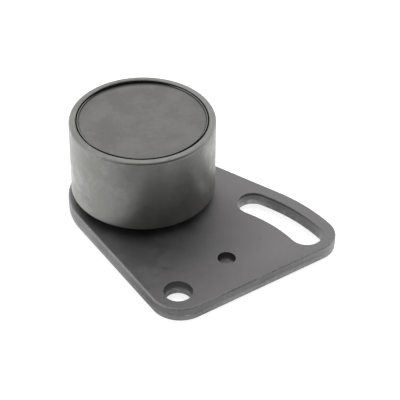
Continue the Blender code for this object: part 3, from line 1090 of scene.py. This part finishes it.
@dataclass
class Bearing:
    """The double-row bearing: balls, cages, split inner ring and the raceways' common sizes."""

    ball_radius: float
    pitch_radius: float
    heights: dict[Row, float]
    count: int
    clearance: float = SEAT_GAP
    high_wrap: float = math.radians(58)
    low_wrap: float = math.radians(30)
    cage_wall: float = 2.8 * MM
    groove_steps: int = 18
    sides: int = 160

    @classmethod
    def from_frame(cls, nodes: Iterable[str]) -> "Bearing":
        """Read the balls' size, circle, heights and number from the frame.

        Args:
            nodes: Names of the frame's nodes.

        Returns:
            The bearing.
        """
        boxes = {row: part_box(f"ball_{row.value}_01") for row in Row}
        centres = {row: (low + high) / 2 for row, (low, high) in boxes.items()}
        low, high = boxes[Row.FRONT]
        count = sum(name.startswith(f"ball_{Row.REAR.value}_") for name in nodes)
        return cls(ball_radius=(high.z - low.z) / 2, pitch_radius=centres[Row.FRONT].xy.length,
                   heights={row: centre.z for row, centre in centres.items()}, count=count)

    @property
    def race_radius(self) -> float:
        """Radius of a raceway's section."""
        return self.ball_radius + self.clearance

    def shoulder(self, side: int, wrap: float) -> float:
        """Return a shoulder's radius, outside the balls for side 1 and inside for -1."""
        return self.pitch_radius + side * self.race_radius * math.cos(wrap)

    def raceway(self, row: Row, lower_wrap: float, upper_wrap: float, side: int) -> list[Point]:
        """Return a raceway's profile going up.

        Args:
            row: The row of balls.
            lower_wrap: Angle that the lower shoulder wraps.
            upper_wrap: Angle that the upper shoulder wraps.
            side: 1 for the roller's raceway and -1 for the inner ring's.

        Returns:
            Points as (radius, height).
        """
        turns = arc((0.0, self.heights[row]), self.race_radius, -lower_wrap, upper_wrap, self.groove_steps)
        return [(self.pitch_radius + side * x, z) for x, z in turns]

    def ring_profile(self, row: Row, bore: float, bottom: float, top: float) -> list[Point]:
        """Return the section of one half of the split inner ring."""
        high = self.shoulder(-1, self.high_wrap)
        low = self.shoulder(-1, self.low_wrap)
        corner, bore_corner = 0.5 * MM, 0.4 * MM
        if row is Row.REAR:
            face = rounded((high, bottom), corner, (1, -1))
            outside = [*face, *self.raceway(row, self.high_wrap, self.low_wrap, -1), (low, top)]
        else:
            face = list(reversed(rounded((high, top), corner, (1, 1))))
            outside = [(low, bottom), *self.raceway(row, self.low_wrap, self.high_wrap, -1), *face]
        return [*outside, (bore + bore_corner, top), (bore, top - bore_corner),
                (bore, bottom + bore_corner), (bore + bore_corner, bottom)]

    def ball_tree(self) -> bpy.types.NodeTree:
        """Build the tree that makes one ball at its place in a row."""
        tree = Group("ball_in_row", {"Geometry": None, "Radius": 0.0036, "Pitch Radius": 0.02, "Height": 0.0,
                                     "Index": 0, "Count": 11, "Material": None},
                     ("Geometry", "Geometry"), "GeometryNodeTree")
        _, radius, reach, height, index, count, material = tree.inputs
        ball = tree.add("GeometryNodeMeshUVSphere", {"Segments": 48, "Rings": 24, "Radius": radius})
        turn = tree.product(tree.maths("DIVIDE", index, count), 2 * math.pi)
        x, y = (tree.product(tree.maths(function, turn), reach) for function in ("COSINE", "SINE"))
        place = tree.add("ShaderNodeCombineXYZ", {0: x, 1: y, 2: height})
        feeds = {"Geometry": ball.outputs["Mesh"], "Translation": place.outputs[0]}
        moved = tree.add("GeometryNodeTransform", feeds)
        smooth = tree.add("GeometryNodeSetShadeSmooth", {0: moved.outputs[0]})
        return tree.give_dressed(smooth.outputs[0], material)

    def cage_tree(self) -> bpy.types.NodeTree:
        """Build the tree that cuts a row's ball pockets into a cage's plain ring."""
        tree = Group("crown_cage", {"Geometry": None, "Pocket Radius": 0.004, "Pitch Radius": 0.02, "Height": 0.0,
                                    "Count": 11, "Material": None},
                     ("Geometry", "Geometry"), "GeometryNodeTree")
        blank, pocket, reach, height, count, material = tree.inputs
        circle = tree.add("GeometryNodeMeshCircle", {"Vertices": count, "Radius": reach})
        lift = tree.add("ShaderNodeCombineXYZ", {2: height})
        feeds = {"Geometry": circle.outputs["Mesh"], "Translation": lift.outputs[0]}
        lifted = tree.add("GeometryNodeTransform", feeds)
        ball = tree.add("GeometryNodeMeshUVSphere", {"Segments": 40, "Rings": 21, "Radius": pocket})
        feeds = {"Points": lifted.outputs[0], "Instance": ball.outputs["Mesh"]}
        pockets = tree.add("GeometryNodeInstanceOnPoints", feeds)
        cutters = tree.add("GeometryNodeRealizeInstances", {"Geometry": pockets.outputs[0]})
        cut = tree.add("GeometryNodeMeshBoolean", {"Mesh 1": blank, "Mesh 2": cutters.outputs[0]},
                       operation="DIFFERENCE", solver="EXACT")
        return tree.give_dressed(cut.outputs["Mesh"], material)

    def build_rings(self, shop: Workshop) -> None:
        """Build both halves of the inner ring."""
        for row in Row:
            node = f"inner_ring_{row.value}"
            low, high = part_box(node)
            bore = self.ring_bore()
            profile = hold(self.ring_profile(row, bore, low.z, high.z))
            piece = new_object(f"ring_{row.value}", turned_mesh(node, profile, self.sides))
            shop.deliver(piece, node, "bearing_steel", "plate")

    @staticmethod
    def ring_bore() -> float:
        """Return the inner rings' bore radius, as the frame has it."""
        mesh = bpy.data.objects["inner_ring_rear"].data
        return min(vert.co.xy.length for vert in mesh.vertices)

    def build_balls(self, shop: Workshop) -> None:
        """Build every ball in its own body."""
        tree = self.ball_tree()
        for row in Row:
            for index in range(self.count):
                node = f"ball_{row.value}_{index + 1:02d}"
                piece = new_object(f"{row.value}_ball_{index + 1:02d}", bpy.data.meshes.new(node))
                run_tree(piece, tree, {
                    "Radius": self.ball_radius, "Pitch Radius": self.pitch_radius,
                    "Height": self.heights[row], "Index": index, "Count": self.count,
                    "Material": shop.materials["bearing_steel"],
                })
                shop.deliver(piece, node, "bearing_steel", node)

    def build_cages(self, shop: Workshop) -> None:
        """Build both crown cages."""
        tree = self.cage_tree()
        corner = 0.3 * MM
        inner = self.pitch_radius - self.cage_wall / 2
        outer = self.pitch_radius + self.cage_wall / 2
        for row in Row:
            node = f"cage_{row.value}"
            low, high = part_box(node)
            profile = [
                *rounded((outer, high.z), corner, (1, 1), 4),
                *reversed(rounded((outer, low.z), corner, (1, -1), 4)),
                *rounded((inner, low.z), corner, (-1, -1), 4),
                *reversed(rounded((inner, high.z), corner, (-1, 1), 4)),
            ]
            piece = new_object(f"cage_ring_{row.value}", turned_mesh(node, profile, self.count * 16))
            run_tree(piece, tree, {
                "Pocket Radius": self.race_radius, "Pitch Radius": self.pitch_radius,
                "Height": self.heights[row], "Count": self.count,
                "Material": shop.materials["cage_plastic"],
            })
            piece.data.set_sharp_from_angle(angle=math.radians(32))
            shop.deliver(piece, node, "cage_plastic", f"{row.value}_cage")


@dataclass
class Roller:
    """The roller with its pressed cap and its rear seal."""

    bearing: Bearing
    upper_edge: float = 1.4 * MM
    lower_edge: float = 1.0 * MM
    bore_chamfer: float = 0.4 * MM
    lead_width: float = 0.5 * MM
    lead_depth: float = 0.5 * MM
    cap_sheet: float = 0.9 * MM
    cap_flange: float = 0.5 * MM
    cap_recess: float = 0.8 * MM
    lip_drop: float = 0.1 * MM
    clearance: float = SEAT_GAP
    sides: int = 288
    box: tuple[Vector, Vector] = field(default_factory=lambda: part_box("idler_roller"))
    cap_box: tuple[Vector, Vector] = field(default_factory=lambda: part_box("end_cap"))
    seal_box: tuple[Vector, Vector] = field(default_factory=lambda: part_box("rear_seal"))

    def body_profile(self) -> list[Point]:
        """Return the roller's section."""
        (bottom, top), (cap_bottom, cap_top), (_, seal_top) = self.box, self.cap_box, self.seal_box
        radius, upper, lower = top.x, top.z, bottom.z
        cap_bore, cap_seat = cap_top.x + self.clearance, cap_bottom.z - self.clearance
        seal_bore, seal_seat = seal_top.x + self.clearance, seal_top.z + self.clearance
        shoulder = self.bearing.shoulder(1, self.bearing.low_wrap)
        chamfer = self.bore_chamfer
        burr = 0.08 * MM
        wraps = (self.bearing.low_wrap, self.bearing.high_wrap)
        return hold([
            *rounded((radius, upper), self.upper_edge, (1, 1), 12),
            *reversed(rounded((radius, lower), self.lower_edge, (1, -1), 10)),
            (seal_bore + chamfer, lower),
            (seal_bore, lower + chamfer),
            (seal_bore, seal_seat),
            (shoulder, seal_seat),
            *self.bearing.raceway(Row.REAR, *wraps, 1),
            *self.bearing.raceway(Row.FRONT, *reversed(wraps), 1),
            (shoulder, cap_seat),
            (cap_bore, cap_seat),
            (cap_bore, upper - self.lead_depth),
            (cap_bore + self.lead_width, upper - burr),
            (cap_bore + self.lead_width + burr, upper),
        ])

    def cap_profile(self) -> list[Point]:
        """Return the pressed cap's section: a flat face and a flange that stands up."""
        low, high = self.cap_box
        outside, inside = high.x, high.x - self.cap_flange
        face = self.box[1].z - self.cap_recess
        lip = high.z - self.lip_drop
        inner_bend = 0.3 * MM
        lip_round = self.cap_flange * 0.46
        return hold([
            (0.0, face),
            *arc((inside - inner_bend, face + inner_bend), inner_bend, -math.pi / 2, 0.0, 8),
            *arc((inside + lip_round, lip - lip_round), lip_round, math.pi, math.pi / 2, 6),
            *arc((outside - lip_round, lip - lip_round), lip_round, math.pi / 2, 0.0, 6),
            *reversed(rounded((outside, low.z), inner_bend + self.cap_sheet * 0.8, (1, -1), 8)),
            (0.0, low.z),
        ])

    def seal_profile(self) -> list[Point]:
        """Return the rear seal's section, with its thin lip towards the inner ring."""
        low, high = self.seal_box
        outside = high.x
        lip = self.bearing.shoulder(-1, self.bearing.high_wrap) + self.clearance
        thin = 0.8 * MM
        root = lip + 2.2 * MM
        middle = (low.z + high.z) / 2
        corner = 0.25 * MM
        return hold([
            *reversed(rounded((outside, high.z), corner, (1, 1), 4)),
            *rounded((root, high.z), corner, (-1, 1), 4),
            (root - thin, middle + thin / 2),
            *rounded((lip, middle + thin / 2), corner, (-1, 1), 4),
            *reversed(rounded((lip, middle - thin / 2), corner, (-1, -1), 4)),
            (root - thin, middle - thin / 2),
            *reversed(rounded((root, low.z), corner, (-1, -1), 4)),
            *rounded((outside, low.z), corner, (1, -1), 4),
        ])

    def build(self, shop: Workshop) -> None:
        """Build the roller, the cap and the seal."""
        for node, name, profile, slot in (
            ("idler_roller", "roller", self.body_profile(), "roller_steel"),
            ("end_cap", "cap", self.cap_profile(), "cap_steel"),
            ("rear_seal", "seal", self.seal_profile(), "seal_rubber"),
        ):
            piece = new_object(name, turned_mesh(node, profile, self.sides))
            shop.deliver(piece, node, slot, "roller")


@dataclass
class Stud:
    """The turned stud that carries the bearing and is riveted flush in the plate."""

    thickness: float
    ring_bore: float
    clearance: float = SEAT_GAP
    shank_radius: float = 7.0 * MM
    rivet_flare: float = 1.6 * MM
    shoulder_width: float = 2.6 * MM
    head_width: float = 2.4 * MM
    head_height: float = 1.4 * MM
    dimple_radius: float = 2.2 * MM
    dimple_depth: float = 0.5 * MM
    sides: int = 160

    def profile(self) -> list[Point]:
        """Return the stud's section, from the riveted end to the formed head."""
        _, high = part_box("pulley_stud")
        ring_low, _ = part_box("inner_ring_rear")
        journal = self.ring_bore - self.clearance
        shoulder = journal + self.shoulder_width
        head = journal + self.head_width
        shoulder_top = ring_low.z - self.clearance
        shoulder_bottom = self.thickness + self.clearance
        head_bottom = high.z - self.head_height
        chamfer = 0.4 * MM
        flare = self.shank_radius + self.rivet_flare
        steps, land, ease_off = 10, 0.15 * MM, 0.1 * MM
        dimple = [(self.dimple_radius * step / steps,
                   self.dimple_depth * (1 + math.cos(math.pi * step / steps)) / 2) for step in range(steps + 1)]
        return hold([
            *dimple,
            (flare - land, 0.0),
            (flare, land),
            (self.shank_radius, self.rivet_flare),
            (self.shank_radius, shoulder_bottom),
            (shoulder - chamfer, shoulder_bottom),
            (shoulder, shoulder_bottom + chamfer),
            (shoulder, shoulder_top - chamfer),
            (shoulder - chamfer, shoulder_top),
            (journal, shoulder_top),
            (journal, head_bottom),
            (head - ease_off, head_bottom),
            (head, head_bottom + ease_off),
            *reversed(rounded((head, high.z), 0.6 * MM, (1, 1), 8)),
            (0.0, high.z),
        ])

    def build(self, shop: Workshop) -> None:
        """Build the stud."""
        piece = new_object("stud", turned_mesh("pulley_stud", self.profile(), self.sides))
        shop.deliver(piece, "pulley_stud", "stud_steel", "plate")


# Studio


@dataclass(frozen=True)
class Softbox:
    """A soft lamp that looks at the object."""

    name: str
    place: Place
    size: tuple[float, float]
    power: float

    def build(self, target: Vector) -> None:
        """Add the lamp, turned to a target."""
        lamp = bpy.data.lights.new(self.name, "AREA")
        lamp.shape = "RECTANGLE"
        lamp.size, lamp.size_y = self.size
        lamp.energy = self.power
        item = new_object(self.name, lamp)
        item.location = self.place
        item.rotation_euler = (target - item.location).to_track_quat("-Z", "Y").to_euler()
        item.visible_glossy = False


@dataclass(frozen=True)
class Studio:
    """A pale floor under soft light, and the camera."""

    azimuth: float = math.radians(14.195)
    elevation: float = math.radians(39.254)
    roll: float = math.radians(0.762)
    aim: Place = (21.60 * MM, -11.50 * MM, 5.75 * MM)
    distance: float = 651.4 * MM
    focal_length: float = 140.674
    sensor_width: float = 36.0
    diffuse_level: float = 0.55
    dim_side: Place = (0.15, -0.989, 0.0)
    dim_level: float = 0.12
    floor_half: float = 3.0
    floor_lift: float = 0.66
    # Levels of the floor as metal reflects it, painted by place: bright at the back, dimmer to the front
    floor_dim_side: Place = (-0.1, -0.995, 0.0)
    left_level: float = 1.65
    right_level: float = 1.30
    side_level: float = 1.05
    front_level: float = 0.62
    # Painted shade (below 1) and painted light (above 1) on the floor as metal reflects it; the one under the slot
    # is the plate's painted shadow
    floor_spots: tuple[Spot, ...] = (
        Spot((-25.0 * MM, -85.0 * MM, 0.0), 15 * MM, 62 * MM, 0.40),
        Spot((50.0 * MM, -30.6 * MM, 0.0), 12 * MM, 20 * MM, 0.45),
        Spot((-9.0 * MM, -82.0 * MM, 0.0), 11 * MM, 21 * MM, 1.5),
        Spot((46.0 * MM, -80.0 * MM, 0.0), 12 * MM, 38 * MM, 0.72),
        Spot((91.0 * MM, -51.0 * MM, 0.0), 12 * MM, 28 * MM, 1.35),
    )

    def camera(self) -> None:
        """Add the camera at the photograph's viewing angle."""
        turn, tilt = self.azimuth, self.elevation
        forward = Vector((math.sin(turn) * math.cos(tilt), math.cos(turn) * math.cos(tilt), -math.sin(tilt)))
        level = Vector((math.cos(turn), -math.sin(turn), 0.0))
        upright = level.cross(forward)
        right = level * math.cos(self.roll) + upright * math.sin(self.roll)
        up = right.cross(forward)
        data = bpy.data.cameras.new("camera")
        data.sensor_fit = "HORIZONTAL"
        data.sensor_width = self.sensor_width
        data.lens = self.focal_length
        data.clip_start, data.clip_end = 0.05, 50.0
        item = new_object("camera", data)
        rows = Matrix((right, up, -forward)).transposed().to_4x4()
        item.matrix_world = Matrix.Translation(Vector(self.aim) - forward * self.distance) @ rows
        bpy.context.scene.camera = item

    def world(self) -> None:
        """Make the world white, with a dimmer side behind the camera in reflections."""
        world = bpy.data.worlds.new("studio")
        bpy.context.scene.world = world
        world.use_nodes = True
        tree = Tree(world.node_tree)
        path = tree.add("ShaderNodeLightPath").outputs
        direction = tree.add("ShaderNodeTexCoord").outputs["Generated"]
        nearness = tree.measure("DOT_PRODUCT", direction, self.dim_side)
        mirrored = tree.span(nearness, 0.0, 0.75, 1.0, self.dim_level)
        seen = tree.maths("MAXIMUM", path["Is Camera Ray"], path["Is Transmission Ray"])
        rest = tree.maths("SUBTRACT", 1.0, tree.maths("MAXIMUM", seen, path["Is Glossy Ray"]))
        strength = tree.maths("ADD", seen, tree.product(path["Is Glossy Ray"], mirrored))
        strength = tree.maths("ADD", strength, tree.product(rest, self.diffuse_level))
        light = tree.add("ShaderNodeBackground", {"Color": WHITE_LIGHT, "Strength": strength})
        tree.add("ShaderNodeOutputWorld", {"Surface": light.outputs[0]})

    def floor(self, height: float) -> None:
        """Lay the floor, white to the camera with a faint shadow; in reflections it glows at levels painted by
        place, with painted shade and light.

        Args:
            height: Height of the floor.
        """
        bm = bmesh.new()
        half = self.floor_half
        corners = [bm.verts.new((x * half, y * half, height)) for x, y in ((-1, -1), (1, -1), (1, 1), (-1, 1))]
        bm.faces.new(corners)
        floor = new_object("floor", finish_mesh("floor", bm))
        material = bpy.data.materials.new("floor_white")
        material.use_nodes = True
        tree = Tree(material.node_tree)
        path = tree.add("ShaderNodeLightPath").outputs
        seen = tree.maths("ADD", path["Is Camera Ray"], path["Is Transmission Ray"])
        matt = tree.add("ShaderNodeBsdfDiffuse", {"Color": (0.86, 0.86, 0.86, 1.0)})
        lift = tree.product(seen, self.floor_lift)
        glow = tree.add("ShaderNodeEmission", {"Color": WHITE_LIGHT, "Strength": lift})
        both = tree.add("ShaderNodeAddShader", {0: matt.outputs[0], 1: glow.outputs[0]})
        place = tree.add("ShaderNodeTexCoord").outputs["Object"]
        # In reflections the floor glows at a level painted by place: painted light and shade
        front = tree.measure("DOT_PRODUCT", place, self.floor_dim_side)
        across, _, _ = tree.parts(place)
        back = tree.span(across, 20 * MM, 60 * MM, self.left_level, self.right_level)
        level = tree.product(tree.span(front, -25 * MM, 20 * MM, back, self.side_level),
                             tree.span(front, 85 * MM, 130 * MM, 1.0, self.front_level),
                             *(spot.lay(tree, place, 1.0) for spot in self.floor_spots))
        mirrored = tree.add("ShaderNodeEmission", {"Color": WHITE_LIGHT, "Strength": level})
        shown = tree.add("ShaderNodeMixShader", {0: path["Is Glossy Ray"], 1: both.outputs[0],
                                                 2: mirrored.outputs[0]})
        tree.add("ShaderNodeOutputMaterial", {"Surface": shown.outputs[0]})
        floor.data.materials.append(material)
        floor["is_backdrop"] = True

    def build(self, floor_height: float) -> None:
        """Set up the whole studio."""
        bpy.context.scene.view_settings.view_transform = "Standard"
        self.camera()
        self.world()
        self.floor(floor_height)
        target = Vector(self.aim)
        Softbox("back_light", (0.45, 0.85, 1.1), (0.8, 0.8), 13.0).build(target)


FINISHES = {
    "plate_steel": StampedSteel("phosphated_plate", face=(0.218, 0.212, 0.216), face_light=(0.278, 0.270, 0.275),
                                worn=(0.37, 0.36, 0.36), burnished=(0.295, 0.295, 0.295), torn=(0.42, 0.42, 0.42),
                                torn_dark=(0.33, 0.33, 0.33), bore=(0.19, 0.19, 0.19),
                                bore_torn=(0.48, 0.48, 0.48), roughness=0.49),
    "stud_steel": MachinedSteel("turned_stud", (0.34, 0.34, 0.33), (0.26, 0.26, 0.25), 0.34),
    # The roller's ring paints oil and the gap's shade on the bore's upper end, by the cap
    "roller_steel": MachinedSteel("ground_roller", (0.325, 0.325, 0.311), (0.265, 0.267, 0.252), 0.40,
                                  films=(Film(JOINT_OIL_AND_SHADE, 27.2 * MM, -0.08 * MM, 38 * MM),)),
    # The cap's rings, in order: painted shade at the back of the recess, painted shade in the flange's inner bend,
    # the lip's top painted a little lighter, and oil with painted shade in the gap to the roller
    "cap_steel": SheetSteel("pressed_cap", (0.232, 0.230, 0.222), (0.200, 0.198, 0.190), 0.45,
                            films=(Film((0.06, 0.06, 0.06), 27.0 * MM, 2.5 * MM, 38 * MM, behind=4.6 * MM),
                                   Film((0.075, 0.075, 0.075), 25.5 * MM, 0.5 * MM, 42.0 * MM),
                                   Film((0.26, 0.26, 0.25), 26.12 * MM, 0.06 * MM, 42.82 * MM),
                                   Film(JOINT_OIL_AND_SHADE, 26.72 * MM, 0.08 * MM, 38 * MM, 1.0 * MM))),
    "bearing_steel": PolishedSteel("bearing_steel", (0.60, 0.60, 0.61), (0.50, 0.49, 0.45)),
    "cage_plastic": MouldedPlastic("cage_polymer", (0.60, 0.52, 0.38), (0.50, 0.42, 0.29), 0.5, 0.01 * MM),
    "seal_rubber": MouldedPlastic("seal_rubber", (0.022, 0.022, 0.023), (0.035, 0.035, 0.036), 0.55, 0.015 * MM),
}


def corners(bounds: tuple[Vector, Vector]) -> list[list[float]]:
    """Return a box's two corners as plain lists of numbers."""
    return [[float(value) for value in corner] for corner in bounds]


def main() -> None:
    """Load the frame, build every piece in order and set up the studio."""
    logging.basicConfig(level=logging.INFO, format="%(message)s")
    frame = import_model()
    before = corners(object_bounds())
    effects = Effects()
    shop = Workshop({slot: finish.material(effects) for slot, finish in FINISHES.items()})
    _, plate_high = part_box("base_plate")
    _, roller_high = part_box("idler_roller")
    bearing = Bearing.from_frame(frame["nodes"])

    BasePlate(plate_high.z, roller_high.x).build(shop)
    Stud(plate_high.z, bearing.ring_bore()).build(shop)
    bearing.build_rings(shop)
    Roller(bearing).build(shop)
    bearing.build_cages(shop)
    bearing.build_balls(shop)
    LOG.info("%d pieces built for %d nodes", shop.count, len(frame["nodes"]))

    Studio().build(before[0][2] - 0.02 * MM)


if __name__ == "__main__":
    main()
